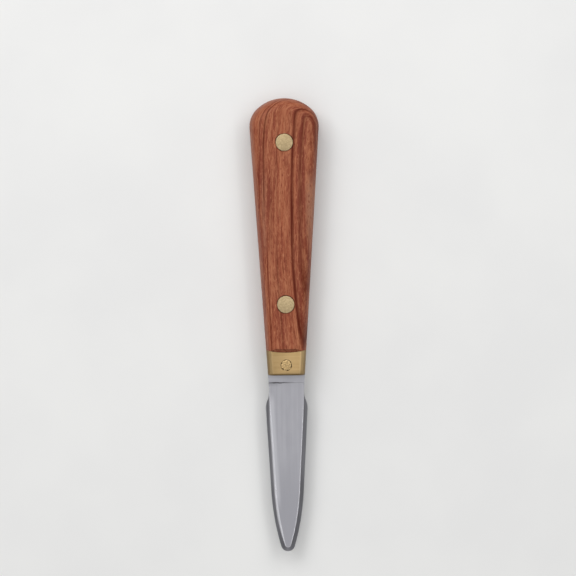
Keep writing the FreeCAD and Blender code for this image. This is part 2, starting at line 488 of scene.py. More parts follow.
class Graph:
    """Adds and joins the nodes of one node tree."""

    def __init__(self, tree: NodeTree) -> None:
        """Takes the tree to work in."""
        self.tree = tree

    def feed(self, socket: NodeSocket, value: Value | Sequence[float]) -> None:
        """Joins a socket to another one or sets its own value.

        Args:
            socket: Input to feed.
            value: What it gets.
        """
        if isinstance(value, NodeSocket):
            self.tree.links.new(value, socket)
        else:
            socket.default_value = value

    def add(self, kind: str, feeds: dict | None = None, **settings: object) -> Node:
        """Adds a node.

        Args:
            kind: Blender's name of the node, without its first word.
            feeds: What its inputs get, by name or number.
            settings: Properties of the node itself.

        Returns:
            The node.
        """
        node = self.tree.nodes.new("ShaderNode" + kind)
        for key, value in settings.items():
            setattr(node, key, value)
        for key, value in (feeds or {}).items():
            self.feed(node.inputs[key], value)
        return node

    def math(self, operation: str, *values: Value) -> NodeSocket:
        """Result of a math node."""
        return self.add("Math", dict(enumerate(values)), operation=operation).outputs[0]

    def times(self, first: Value, second: Value) -> NodeSocket:
        """Product of two values."""
        return self.math("MULTIPLY", first, second)

    def scaled(self, value: Value, factor: Value, offset: Value) -> NodeSocket:
        """A value multiplied and then moved by an offset."""
        return self.math("MULTIPLY_ADD", value, factor, offset)

    def most(self, first: Value, second: Value) -> NodeSocket:
        """The greater of two values."""
        return self.math("MAXIMUM", first, second)

    def stretch(self, place: NodeSocket, lines: NodeSocket | Sequence[float]) -> NodeSocket:
        """Place multiplied along each axis."""
        return self.add("VectorMath", {0: place, 1: lines}, operation="MULTIPLY").outputs[0]

    def split(self, place: NodeSocket) -> tuple[NodeSocket, ...]:
        """X, Y and Z of a place."""
        return tuple(self.add("SeparateXYZ", {0: place}).outputs)

    def joined(self, x: Value, y: Value, z: Value) -> NodeSocket:
        """A place from its X, Y and Z."""
        return self.add("CombineXYZ", {0: x, 1: y, 2: z}).outputs[0]

    def noise(
        self, place: NodeSocket, detail: float, roughness: float = 0.5, lines: Lines | None = None
    ) -> NodeSocket:
        """Levels of a noise.

        Args:
            place: Place in the noise.
            detail: How many finer noises lie in it.
            roughness: How strong those are.
            lines: Its fineness as lines per unit along X, Y and Z; one line if it is left out.

        Returns:
            The level, about 0.5.
        """
        vector = place if lines is None else self.stretch(place, lines)
        feeds = {"Vector": vector, "Scale": 1.0, "Detail": detail, "Roughness": roughness}
        return self.add("TexNoise", feeds).outputs[0]

    def span(self, value: Value, low: float, high: float, *strengths: float) -> NodeSocket:
        """A value's span carried smoothly to two strengths, which are 0 and 1 if they are left out."""
        feeds = dict(enumerate((value, low, high, *strengths)))
        return self.add("MapRange", feeds, interpolation_type="SMOOTHSTEP").outputs[0]

    def window(self, value: Value, start: Span, end: Span) -> NodeSocket:
        """Product of two spans of a value: where something sets in and where it ends."""
        return self.times(self.span(value, *start), self.span(value, *end))

    def mix(self, share: NodeSocket, *colours: NodeSocket | Colour) -> NodeSocket:
        """Mix of two colours."""
        first, second = (hue if isinstance(hue, NodeSocket) else (*hue, 1.0) for hue in colours)
        return self.add("Mix", {0: share, 6: first, 7: second}, data_type="RGBA").outputs[2]

    def ramp(self, value: NodeSocket, levels: Iterable[tuple[float, float]]) -> NodeSocket:
        """Grey level of a value from 0 to 1.

        Args:
            value: The value.
            levels: Places on the ramp, both its ends among them, and the level at each.

        Returns:
            The level, which runs straight from place to place.
        """
        ramp = self.add("ValToRGB", {0: value})
        stops = ramp.color_ramp.elements
        for place, level in levels:
            if place in (0.0, 1.0):
                stop = stops[-1 if place else 0]
            else:
                stop = stops.new(place)
            stop.color = (level, level, level, 1)
        return ramp.outputs[0]


class Effects:
    """Shader node groups that more than one finish uses, each built at its first use."""

    TONE: Span = (0.3, 0.7)
    BROAD_LINES: Lines = (0.27, 0.27, 0.27)
    EDGE_TURN: Span = (0.01, 0.16)
    EDGE_PATCHES: Span = (0.3, 0.62)
    EDGE_SAMPLES = 6

    @staticmethod
    def start(name: str, inputs: dict[str, str], outputs: Sequence[str]) -> tuple[Graph, Node, Node]:
        """Starts a group with its sockets.

        Args:
            name: Name of the group.
            inputs: Type of each input by its name.
            outputs: Names of the values that it puts out.

        Returns:
            The group's graph, its input node and its output node.
        """
        tree = bpy.data.node_groups.new(name, "ShaderNodeTree")
        for label, kind in inputs.items():
            tree.interface.new_socket(label, in_out="INPUT", socket_type="NodeSocket" + kind)
        for label in outputs:
            tree.interface.new_socket(label, in_out="OUTPUT", socket_type="NodeSocketFloat")
        return Graph(tree), tree.nodes.new("NodeGroupInput"), tree.nodes.new("NodeGroupOutput")

    @staticmethod
    @cache
    def tool_lines() -> NodeTree:
        """Fine lines left by a belt or by sanding, as a height and a broader tone.

        Returns:
            The group.
        """
        inputs = {"Place": "Vector", "Lines": "Vector"}
        graph, given, out = Effects.start("tool_lines", inputs, ("Height", "Tone"))
        lines = graph.stretch(given.outputs["Place"], given.outputs["Lines"])
        broad = graph.noise(lines, detail=2.0, lines=Effects.BROAD_LINES)
        graph.feed(out.inputs["Height"], graph.noise(lines, detail=3.0, roughness=0.65))
        graph.feed(out.inputs["Tone"], graph.span(broad, *Effects.TONE))
        return graph.tree

    @staticmethod
    @cache
    def clouding() -> NodeTree:
        """Soft uneven tone, as handling and cleaning leave it.

        Returns:
            The group.
        """
        graph, given, out = Effects.start("clouding", {"Place": "Vector", "Size": "Vector"}, ("Tone",))
        feeds = {0: given.outputs["Place"], 1: given.outputs["Size"]}
        sized = graph.add("VectorMath", feeds, operation="DIVIDE").outputs[0]
        cloud = graph.noise(sized, detail=3.0, roughness=0.55)
        graph.feed(out.inputs["Tone"], graph.span(cloud, *Effects.TONE))
        return graph.tree

    @staticmethod
    @cache
    def edge_rub() -> NodeTree:
        """Where edges are rubbed by use, broken up along their length.

        Returns:
            The group.
        """
        graph, given, out = Effects.start("edge_rub", {"Place": "Vector", "Radius": "Float"}, ("Mask",))
        feeds = {"Radius": given.outputs["Radius"]}
        wear_and_sheen = graph.add("Bevel", feeds, samples=Effects.EDGE_SAMPLES).outputs[0]
        true = graph.add("NewGeometry").outputs["Normal"]
        alike = graph.add("VectorMath", {0: wear_and_sheen, 1: true}, operation="DOT_PRODUCT").outputs["Value"]
        edge = graph.span(graph.math("SUBTRACT", 1.0, alike), *Effects.EDGE_TURN)
        patches = graph.noise(given.outputs["Place"], detail=3.0)
        uneven = graph.span(patches, *Effects.EDGE_PATCHES)
        graph.feed(out.inputs["Mask"], graph.times(edge, uneven))
        return graph.tree


class Surface(Graph):
    """A material under construction: the places of its points in millimetres, and its colour so far."""

    def __init__(self, name: str, colour: Colour) -> None:
        """Starts a material.

        Args:
            name: Name of the finish.
            colour: Its ground colour.
        """
        self.material = bpy.data.materials.new(name)
        self.material.use_nodes = True
        super().__init__(self.material.node_tree)
        self.place = self.stretch(self.add("TexCoord").outputs["Object"], (1 / MILLIMETRE,) * 3)
        self.x, self.y, self.z = self.split(self.place)
        self.colour: NodeSocket | Colour = colour

    def facing(self) -> tuple[NodeSocket, ...]:
        """X, Y and Z of the surface's normal."""
        return self.split(self.add("NewGeometry").outputs["Normal"])

    def bump(self, height: NodeSocket, strength: float, distance: float) -> NodeSocket:
        """Normal of a surface with small heights, the distance in millimetres."""
        feeds = {"Height": height, "Strength": strength, "Distance": distance * MILLIMETRE}
        return self.add("Bump", feeds).outputs[0]

    def effect(self, tree: NodeTree, **values: object) -> tuple[NodeSocket, ...]:
        """Places a shared effect with its own values."""
        return tuple(self.add("Group", {"Place": self.place, **values}, node_tree=tree).outputs)

    def cloud(self, size: Lines) -> NodeSocket:
        """Soft uneven tone with clouds of a given size."""
        return self.effect(Effects.clouding(), Size=size)[0]

    def rubbed_edges(self, radius: float) -> NodeSocket:
        """Where edges are rubbed, out to a radius."""
        return self.effect(Effects.edge_rub(), Radius=radius * MILLIMETRE)[0]

    def tint(self, share: NodeSocket, colour: NodeSocket | Colour) -> None:
        """Lays a colour over the colour so far."""
        self.colour = self.mix(share, self.colour, colour)

    def dress(self, inputs: dict[str, Value]) -> Material:
        """Gives the shader its colour and its other inputs.

        Args:
            inputs: What the shader's other inputs get, by name.

        Returns:
            The finished material.
        """
        shader = self.tree.nodes["Principled BSDF"]
        for name, value in {"Base Color": self.colour, **inputs}.items():
            self.feed(shader.inputs[name], value)
        return self.material


@dataclass(frozen=True)
class Vein:
    """A dark vein or a light band: its place across the face, its soft sides and its strength."""

    place: float
    soft_left: float
    soft_right: float
    depth: float


@dataclass(frozen=True)
class WoodFinish:
    """Oiled reddish hardwood, its figure lying in layers that come out where the form is rounded.

    A span has the two places or levels between which something sets in, and then its strengths there.
    """

    name: str
    face_z: float
    rivet_places: tuple[float, float]
    through_veins: tuple[Vein, ...]
    butt_veins: tuple[Vein, ...]
    neck_veins: tuple[Vein, ...]
    mid_veins: tuple[Vein, ...]
    light_bands: tuple[Vein, ...]
    pale: Colour = (0.430, 0.164, 0.082)
    tan: Colour = (0.40, 0.19, 0.115)
    body: Colour = (0.300, 0.085, 0.041)
    red: Colour = (0.190, 0.040, 0.023)
    dark: Colour = (0.095, 0.011, 0.003)
    # Greyish tint of the painted sheen on the rounded sides.
    wear_and_sheen: Colour = (0.33, 0.18, 0.137)
    # Colour of the painted shadow round the rivet heads.
    gap_shade: Colour = (0.045, 0.010, 0.003)
    half_span: float = 14.0
    neck_turn: float = 27.9
    neck_bend: tuple[float, float] = (0.0039, 0.00061)
    butt_turn: float = 45.0
    butt_bend: tuple[float, float] = (0.0020, 0.0003)
    fan: Span = (64.0, 78.0, 0.8, 1.4)
    fan_slope: float = 0.08
    lean: Span = (50.0, 78.0, 0.75, 3.0)
    wander: float = 1.2
    wander_lines: Lines = (0.12, 0.035, 0.12)
    band_lines: Lines = (0.24, 0.014, 0.24)
    streak_lines: Lines = (1.3, 0.05, 1.3)
    fleck_lines: Lines = (2.3, 0.50, 2.3)
    pore_lines: Lines = (3.2, 0.26, 3.2)
    uneven_lines: Lines = (0.9, 0.09, 0.9)
    bands: Span = (0.36, 0.64)
    pale_streaks: Span = (0.42, 0.68, 0.0, 0.85)
    red_streaks: Span = (0.45, 0.28, 0.0, 0.85)
    pale_flecks: Span = (0.53, 0.70, 0.0, 0.9)
    red_flecks: Span = (0.47, 0.30, 0.0, 0.9)
    pores: Span = (0.54, 0.66)
    pore_darkness: float = 0.5
    vein_unevenness: Span = (0.25, 0.65, 0.7, 1.15)
    mid_start: Span = (22.0, 32.0)
    mid_end: Span = (60.0, 48.0)
    near_butt: Span = (34.0, 50.0)
    near_neck: Span = (36.0, 22.0)
    # Darker where the wood faces the tip, by how far its face turns that way.
    tip_facing_dark: Span = (-0.45, -0.72, 0.0, 0.22)
    # Painted shadow round the rivet heads: how far from their centres it reaches, and its patches.
    gap_shade_ring: Span = (3.62, 3.30)
    gap_shade_lines: Lines = (0.45, 0.45, 0.45)
    gap_shade_patches: Span = (0.38, 0.58, 0.1, 0.95)
    rub_radius: float = 0.5
    rub_share: float = 0.35
    # Painted sheen on the rounded sides: where it sets in, where it ends, and how much on each side.
    rim_sheen_start: Span = (0.80, 0.45, 0.0, 0.34)
    rim_sheen_end: Span = (0.0, 0.3, 0.3, 1.0)
    rim_sheen_sides: Span = (0.3, -0.3, 0.4, 1.0)
    cloud_size: Lines = (6.0, 18.0, 6.0)
    cloud_roughness: float = 0.10
    plain_roughness: float = 0.40
    pore_roughness: float = 0.18
    pore_depth: float = -0.8
    relief: tuple[float, float] = (0.35, 0.05)
    gloss: float = 0.10

    def vein_ramp(self, wood: Surface, across: NodeSocket, veins: tuple[Vein, ...]) -> NodeSocket:
        """Strength of a set of veins.

        Args:
            wood: The material.
            across: Place across the layers, in millimetres.
            veins: The veins.

        Returns:
            The strength, from 0 to 1.
        """
        feeds = {0: across, 1: -self.half_span, 2: self.half_span}
        levels = [(-self.half_span, 0.0), (self.half_span, 0.0)]
        for vein in veins:
            left, right = vein.place - vein.soft_left, vein.place + vein.soft_right
            levels += [(left, 0.0), (vein.place, vein.depth), (right, 0.0)]
        shares = [((place + self.half_span) / (2 * self.half_span), level) for place, level in levels]
        return wood.ramp(wood.add("MapRange", feeds).outputs[0], shares)

    @staticmethod
    def bend(wood: Surface, run: NodeSocket, gain: float, easing: float) -> NodeSocket:
        """How far the layers turn aside along a run towards one end, more and more and then less."""
        square = wood.math("POWER", wood.most(run, 0.0), 2.0)
        return wood.math("DIVIDE", wood.times(square, gain), wood.scaled(square, easing, 1.0))

    def layers(self, wood: Surface) -> NodeSocket:
        """Place across the layers of the wood.

        Args:
            wood: The material.

        Returns:
            The place, in millimetres on the middle of the face.
        """
        x, y = wood.x, wood.y
        neck = self.bend(wood, wood.math("SUBTRACT", self.neck_turn, y), *self.neck_bend)
        butt = self.bend(wood, wood.math("SUBTRACT", y, self.butt_turn), *self.butt_bend)
        fan = wood.math("MINIMUM", wood.scaled(x, self.fan_slope, wood.span(y, *self.fan)), 1.0)
        depth = wood.math("ABSOLUTE", wood.math("SUBTRACT", wood.z, self.face_z))
        wander = wood.noise(wood.place, detail=2.0, lines=self.wander_lines)
        across = wood.math("SUBTRACT", x, wood.times(wood.math("ADD", butt, neck), fan))
        across = wood.math("SUBTRACT", across, wood.times(depth, wood.span(y, *self.lean)))
        return wood.math("ADD", across, wood.scaled(wander, self.wander, -self.wander / 2))

    def figure(self, wood: Surface, across: NodeSocket, grain: NodeSocket, streaks: NodeSocket) -> None:
        """Lays streaks, light bands, flecks and dark veins over the ground colour.

        Args:
            wood: The material.
            across: Place across the layers.
            grain: Place in the layers.
            streaks: Levels of the streaks.
        """
        y = wood.y
        mid_length = wood.window(y, self.mid_start, self.mid_end)
        bands = wood.noise(grain, detail=2.0, lines=self.band_lines)
        flecks = wood.noise(grain, detail=3.0, roughness=0.7, lines=self.fleck_lines)
        wood.tint(wood.span(bands, *self.bands), self.body)
        wood.tint(wood.span(streaks, *self.pale_streaks), self.pale)
        wood.tint(wood.span(streaks, *self.red_streaks), self.red)
        wood.tint(wood.times(self.vein_ramp(wood, across, self.light_bands), mid_length), self.tan)
        wood.tint(wood.span(flecks, *self.pale_flecks), self.pale)
        wood.tint(wood.span(flecks, *self.red_flecks), self.red)
        veins = self.vein_ramp(wood, across, self.through_veins)
        for local_veins, extent in (
            (self.butt_veins, wood.span(y, *self.near_butt)),
            (self.neck_veins, wood.span(y, *self.near_neck)),
            (self.mid_veins, mid_length),
        ):
            veins = wood.scaled(self.vein_ramp(wood, across, local_veins), extent, veins)
        uneven = wood.noise(grain, detail=2.0, lines=self.uneven_lines)
        veins = wood.times(veins, wood.span(uneven, *self.vein_unevenness))
        wood.tint(wood.math("MINIMUM", veins, 1.0), self.dark)

    def rivet_gap_shade(self, wood: Surface) -> NodeSocket:
        """Painted shadow in the gap round the rivet heads, a dark line broken into patches.

        Args:
            wood: The material.

        Returns:
            The darkness, from 0 to 1.
        """
        flat = wood.joined(wood.x, wood.y, 0.0)
        first, second = (
            wood.add("VectorMath", {0: flat, 1: (0.0, rivet_y, 0.0)}, operation="DISTANCE").outputs["Value"]
            for rivet_y in self.rivet_places
        )
        ring = wood.span(wood.math("MINIMUM", first, second), *self.gap_shade_ring)
        patches = wood.noise(wood.place, detail=1.0, lines=self.gap_shade_lines)
        return wood.times(ring, wood.span(patches, *self.gap_shade_patches))

    def wear_and_shading(self, wood: Surface) -> None:
        """Darkens the faces turned towards the tip, lays painted shadow round the rivet holes, rubs edges
        pale and lays a painted sheen on the rounded sides.

        Args:
            wood: The material.
        """
        lean_x, lean_y, lean_z = wood.facing()
        # Darker on the faces turned towards the tip: the wood's front end and the slope above it.
        wood.tint(wood.span(lean_y, *self.tip_facing_dark), self.dark)
        # Painted shadow in the gap round the rivet heads.
        wood.tint(self.rivet_gap_shade(wood), self.gap_shade)
        wood.tint(wood.times(wood.rubbed_edges(self.rub_radius), self.rub_share), self.pale)
        # Painted sheen: the rounded sides turn pale and grey, more on the left, as if they caught the light.
        upright = wood.math("ABSOLUTE", lean_z)
        rim = wood.window(upright, self.rim_sheen_start, self.rim_sheen_end)
        wood.tint(wood.times(rim, wood.span(lean_x, *self.rim_sheen_sides)), self.wear_and_sheen)

    def material(self) -> Material:
        """Builds the finish.

        Returns:
            The material.
        """
        wood = Surface(self.name, self.red)
        across = self.layers(wood)
        grain = wood.joined(across, wood.y, wood.z)
        streaks = wood.noise(grain, detail=5.0, roughness=0.68, lines=self.streak_lines)
        fibres = wood.noise(grain, detail=3.0, roughness=0.65, lines=self.pore_lines)
        pores = wood.span(fibres, *self.pores)
        self.figure(wood, across, grain, streaks)
        wood.tint(wood.times(pores, self.pore_darkness), self.dark)
        self.wear_and_shading(wood)
        sheen = wood.scaled(wood.cloud(self.cloud_size), self.cloud_roughness, self.plain_roughness)
        return wood.dress({
            "Roughness": wood.scaled(pores, self.pore_roughness, sheen),
            "Normal": wood.bump(wood.scaled(pores, self.pore_depth, streaks), *self.relief),
            "Specular IOR Level": self.gloss,
        })


@dataclass(frozen=True)
class MetalFinish:
    """Ground or sanded metal with tool lines, soft clouding and rubbed edges."""

    name: str
    colour: Colour
    dull: Colour
    bright: Colour
    lines: LineRun
    roughness: float
    line_depth: float
    line_tone: float
    grit: float = 0.0
    cloud_size: Lines = (5.0, 9.0, 5.0)
    cloud_share: float = 0.55
    roughness_spread: float = 0.06
    grit_size: Lines = (0.6, 0.6, 0.6)
    grit_height: float = 1.2
    rub_radius: float = 0.25
    rub_share: float = 0.6
    relief: float = 0.5

    def tool_marks(self, metal: Surface) -> tuple[NodeSocket, ...]:
        """Height and tone of the tool lines."""
        return metal.effect(Effects.tool_lines(), Lines=self.lines.value)

    def stains_and_painted_light(self, metal: Surface) -> None:
        """Lays the stains of use and any painted light and shade over the clean metal, of which plain metal
        has none.
        """

    def material(self) -> Material:
        """Builds the finish.

        Returns:
            The material.
        """
        metal = Surface(self.name, self.colour)
        height, tone = self.tool_marks(metal)
        cloud = metal.cloud(self.cloud_size)
        metal.tint(metal.times(cloud, self.cloud_share), self.dull)
        metal.tint(metal.times(tone, self.line_tone), self.bright)
        roughness = metal.scaled(cloud, self.roughness_spread, self.roughness - self.roughness_spread / 2)
        if self.grit:
            speck = metal.cloud(self.grit_size)
            metal.tint(metal.times(speck, self.grit), self.dull)
            height = metal.scaled(speck, self.grit_height, height)
        metal.tint(metal.times(metal.rubbed_edges(self.rub_radius), self.rub_share), self.bright)
        self.stains_and_painted_light(metal)
        return metal.dress({
            "Roughness": metal.scaled(tone, self.roughness_spread, roughness),
            "Normal": metal.bump(height, self.relief, self.line_depth),
            "Metallic": 1.0,
        })


@dataclass(frozen=True, kw_only=True)
class BladeSteel(MetalFinish):
    """Satin steel, ground lengthwise in front of the plunge and crosswise behind it.

    The spans that start with plunge are measured from the plunge.
    """

    plunge_y: float
    heel_arris: Vector
    fore_arris: Vector
    # Colour of the painted shade where the face steps down at the plunge.
    step_shade: Colour = (0.07, 0.065, 0.07)
    plunge_turn: Span = (-0.6, 0.0)
    dull_point: Span = (-45.0, -66.0, 0.0, 0.8)
    # Painted highlight beside the left arris: across it, and where it starts and ends along the blade.
    highlight_inside: Span = (2.1, 0.8, 0.0, 0.65)
    highlight_outside: Span = (-0.3, 0.0)
    highlight_tip: Span = (-70.0, -62.0)
    highlight_heel: Span = (-24.0, -29.0)
    drift_lines: Lines = (0.6, 0.6, 0.6)
    drift: float = 0.6
    drift_start: float = -0.48
    # Painted shade at the plunge: the line's width, its dark part on the left, and the patch below it.
    step_shade_line: Span = (0.38, 0.08, 0.0, 0.85)
    step_shade_right: Span = (4.2, -3.5)
    step_shade_left: Span = (-6.9, -4.4, 0.45, 1.0)
    plunge_shade_start: Span = (-1.9, -0.4)
    shade_patch_side: Span = (-0.5, -5.0)
    plunge_shade_end: Span = (0.0, -0.3, 0.0, 0.24)

    def tool_marks(self, metal: Surface) -> tuple[NodeSocket, ...]:
        """Height and tone of the tool lines.

        Args:
            metal: The material.

        Returns:
            The height and the tone.
        """
        behind = metal.effect(Effects.tool_lines(), Lines=LineRun.CROSSWISE.value)
        turned = metal.span(self.from_plunge(metal), *self.plunge_turn)
        return tuple(
            metal.add("Mix", {0: turned, 2: front, 3: rear}, data_type="FLOAT").outputs[0]
            for front, rear in zip(super().tool_marks(metal), behind)
        )

    def from_plunge(self, metal: Surface) -> NodeSocket:
        """Place along the knife, from the plunge."""
        return metal.math("SUBTRACT", metal.y, self.plunge_y)

    def paint_arris_highlight(self, metal: Surface) -> None:
        """Paints a highlight on the inner side of the left arris.

        Args:
            metal: The material.
        """
        y = metal.y
        slope = (self.fore_arris.x - self.heel_arris.x) / (self.fore_arris.y - self.heel_arris.y)
        arris = metal.scaled(y, slope, self.heel_arris.x - slope * self.heel_arris.y)
        inside = metal.math("ADD", metal.x, arris)
        arris_highlight = metal.window(inside, self.highlight_inside, self.highlight_outside)
        along = metal.window(y, self.highlight_tip, self.highlight_heel)
        # Painted highlight along the inner side of the left arris.
        metal.tint(metal.times(arris_highlight, along), self.bright)

    def stains_and_painted_light(self, metal: Surface) -> None:
        """Adds a duller point, a painted highlight by the left arris, and painted shade at the plunge: a line
        that turns to a painted highlight towards the right, and a patch below it on the left.

        Args:
            metal: The material.
        """
        metal.tint(metal.span(metal.y, *self.dull_point), self.dull)
        self.paint_arris_highlight(metal)
        # Painted shade at the plunge step: a dark line with a painted highlight instead towards the right,
        # and a painted shadow patch below it on the left.
        x, behind = metal.x, self.from_plunge(metal)
        drift = metal.noise(metal.place, detail=3.0, roughness=0.6, lines=self.drift_lines)
        aside = metal.math("SUBTRACT", behind, metal.scaled(drift, self.drift, self.drift_start))
        line = metal.span(metal.math("ABSOLUTE", aside), *self.step_shade_line)
        dark = metal.window(x, self.step_shade_right, self.step_shade_left)
        metal.tint(line, metal.mix(dark, self.bright, self.step_shade))
        below = metal.window(behind, self.plunge_shade_start, self.plunge_shade_end)
        metal.tint(metal.times(below, metal.span(x, *self.shade_patch_side)), self.step_shade)


@dataclass(frozen=True, kw_only=True)
class BolsterBrass(MetalFinish):
    """Brushed brass with painted light: a painted highlight where the sides start to turn, and painted shade
    at one side, at the front and where it turns away from the polished face.
    """

    front_y: float
    # Colour of the painted shade on the turned-away sides, the left and the front.
    turned_away_shade: Colour
    side_highlight_start: Span = (0.08, 0.30, 0.0, 0.9)
    side_highlight_end: Span = (0.95, 0.60)
    left_face_shade: Span = (3.2, -5.5, 0.0, 0.40)
    left_side_shade: Span = (-0.6, -0.97, 0.0, 0.9)
    right_side_shade: Span = (0.72, 1.0, 0.0, 0.85)
    front_face_shade: Span = (2.6, 0.4, 0.0, 0.48)
    front_edge_shade: Span = (-0.05, -0.55, 0.0, 0.95)

    def stains_and_painted_light(self, metal: Surface) -> None:
        """Paints a highlight where the rounded sides start to turn, and painted shade on the left, on the
        turned-away sides and at the front.

        Args:
            metal: The material.
        """
        lean_x, lean_y, _ = metal.facing()
        aside = metal.math("ABSOLUTE", lean_x)
        from_front = metal.math("SUBTRACT", metal.y, self.front_y)
        # Painted highlight where the rounded sides start to turn.
        metal.tint(metal.window(aside, self.side_highlight_start, self.side_highlight_end), self.bright)
        left = metal.most(metal.span(metal.x, *self.left_face_shade), metal.span(lean_x, *self.left_side_shade))
        sides = metal.most(left, metal.span(lean_x, *self.right_side_shade))
        front = metal.most(metal.span(from_front, *self.front_face_shade), metal.span(lean_y, *self.front_edge_shade))
        # Painted shade: darker to the left, on the turned-away sides and towards the front.
        metal.tint(metal.most(sides, front), self.turned_away_shade)


@dataclass(frozen=True)
class FloorFinish:
    """Plain pale matt floor with the faintest mottling."""

    name: str = "pale_floor"
    pale: Colour = (0.80, 0.80, 0.79)
    shade: Colour = (0.77, 0.77, 0.765)
    cloud_size: Lines = (60.0, 60.0, 60.0)
    cloud_roughness: float = 0.08
    plain_roughness: float = 0.62
    gloss: float = 0.2

    def material(self) -> Material:
        """Builds the finish.

        Returns:
            The material.
        """
        floor = Surface(self.name, self.pale)
        cloud = floor.cloud(self.cloud_size)
        floor.tint(cloud, self.shade)
        roughness = floor.scaled(cloud, self.cloud_roughness, self.plain_roughness)
        return floor.dress({"Roughness": roughness, "Specular IOR Level": self.gloss})


@dataclass
class Blade:
    """Blade and full tang from one plate: hollow plunge, thinning faces and blunt bevelled edges."""

    plan: KnifePlan
    heel_inset: float = 12.7
    heel_flare: float = 1.71
    heel_radius: float = 8.0
    heel_steps: int = 8
    fore_half: float = 5.6
    fore_inset: float = 49.5
    curve_radius: float = 90.0
    curve_steps: int = 14
    tip_radius: float = 2.6
    tip_steps: int = 12
    grind_inset: float = 2.6
    grind_depth: float = 0.15
    grind_radius: float = 1.0
    hollow_steps: int = 4
    tip_half_thickness: float = 0.9
    bevel_width: float = 1.66
    edge_half_thickness: float = 0.3
    point_edge_half: float = 0.15
    station: float = 2.0
    first_station: int = 2
    keen_arris: float = 0.18
    soft_arris: float = 0.65
    arris_strips: int = 6
    keen_run: float = 2.0
    soft_run: float = 6.5
    flat_lean: float = 0.99
    bevel_leans: tuple[float, float] = (0.7, 0.95)
    strip_leans: tuple[float, float] = (0.909, 0.9985)

    @property
    def stock_half(self) -> float:
        """Half the thickness of the plate."""
        return self.plan.inner_z - self.plan.mid_z

    @property
    def start_y(self) -> float:
        """Where the face grind starts."""
        return self.plan.front_y - self.grind_inset

    @property
    def settled_y(self) -> float:
        """Where the hollow at the start of the face grind ends."""
        return self.start_y - math.sqrt(2 * self.grind_radius * self.grind_depth - self.grind_depth ** 2)

    @property
    def heel(self) -> Vector:
        """Where the straight edge starts, just in front of the blade's widest place."""
        half = self.plan.throat_half - self.heel_inset * self.plan.side_slope + self.heel_flare
        return at(half, self.plan.front_y - self.heel_inset)

    @property
    def fore(self) -> Vector:
        """Where the line of the straight edge passes the point's curve."""
        return at(self.fore_half, self.plan.front_y - self.fore_inset)

    def face_height(self, y: float) -> float:
        """Height of the ground face above the middle of the plate.

        Args:
            y: Place along the knife.

        Returns:
            The height.
        """
        settled = self.stock_half - self.grind_depth
        if y >= self.start_y:
            return self.stock_half
        if y > self.settled_y:
            return settled + self.grind_radius - math.sqrt(self.grind_radius ** 2 - (y - self.settled_y) ** 2)
        share = (self.settled_y - y) / (self.settled_y - self.plan.tip_y)
        return settled + (self.tip_half_thickness - settled) * share

    def edge_height(self, y: float) -> float:
        """Height of the blunt edge above the middle of the plate, less towards the point."""
        share = (self.heel.y - y) / (self.heel.y - self.plan.tip_y)
        return self.edge_half_thickness + (self.point_edge_half - self.edge_half_thickness) * share

    def draw(self, form: Form) -> tuple[list[tuple[Vector, Vector]], float]:
        """Draws half of the outline.

        Args:
            form: Form to draw in.

        Returns:
            Start and end of each straight step of the edge that is bevelled, from heel to tip, and where the
            ricasso ends.
        """
        plan, heel = self.plan, self.heel
        normal = outward(self.fore, heel)
        round_centre = heel - normal * self.heel_radius
        hollow_centre = centre_beside(
            plan.throat, plan.side_normal, self.heel_radius, round_centre, 2 * self.heel_radius
        )
        ricasso_end = hollow_centre - plan.side_normal * self.heel_radius
        tip = at(0, plan.tip_y)
        tip_centre = tip + ALONG * self.tip_radius
        reach = self.curve_radius - self.tip_radius
        curve_centre = centre_beside(heel, normal, -self.curve_radius, tip_centre, reach)
        curve_end = tip_centre + (tip_centre - curve_centre).normalized() * self.tip_radius
        drawn = plan.draw_butt(form)
        drawn.run_to(ricasso_end)
        drawn.turn_to(hollow_centre, (round_centre + hollow_centre) / 2, self.heel_steps)
        drawn.turn_to(round_centre, heel, self.heel_steps)
        before = set(form.mesh.edges)
        drawn.run_to(curve_centre + normal * self.curve_radius)
        drawn.turn_to(curve_centre, curve_end, self.curve_steps)
        drawn.turn_to(tip_centre, tip, self.tip_steps)
        steps = [[vert.co.copy() for vert in edge.verts] for edge in form.mesh.edges if edge not in before]
        return [tuple(sorted(step, key=lambda end: -end.y)) for step in steps], ricasso_end.y

    def grind_faces(self, form: Form, ricasso_y: float) -> None:
        """Grinds the hollow plunge and the faces that thin towards the tip.

        Args:
            form: Form to grind.
            ricasso_y: Where the ricasso ends.
        """
        hollow_run = self.start_y - self.settled_y
        for count in range(self.hollow_steps + 1):
            form.score(at(0, self.start_y - hollow_run * count / self.hollow_steps), ALONG)
        form.score(at(0, ricasso_y), ALONG)
        for vert in form.mesh.verts:
            if vert.co.z > self.plan.mid_z + NEAR:
                vert.co.z = self.plan.mid_z + self.face_height(vert.co.y)

    def grind_bevels(self, form: Form, steps: list[tuple[Vector, Vector]], ricasso_y: float) -> None:
        """Grinds the bevels of both edges, step by step.

        Args:
            form: Form to grind.
            steps: Start and end of each straight step of the edge.
            ricasso_y: Where the ricasso ends.
        """
        rise = self.stock_half - self.grind_depth - self.edge_half_thickness
        for start, end in steps:
            foot = start + UP * (self.plan.mid_z + self.edge_height(start.y))
            drop = self.edge_height(start.y) - self.edge_height(end.y)
            along = (start - end + UP * drop).normalized()
            slope = outward(end, start) * rise + UP * self.bevel_width
            slope = (slope - along * slope.dot(along)).normalized()
            form.grind_both(foot, slope, lambda point: point.y < ricasso_y + NEAR)
        for count in range(self.first_station, int((self.heel.y - self.fore.y) / self.station)):
            form.score(self.heel - ALONG * (count * self.station), ALONG)

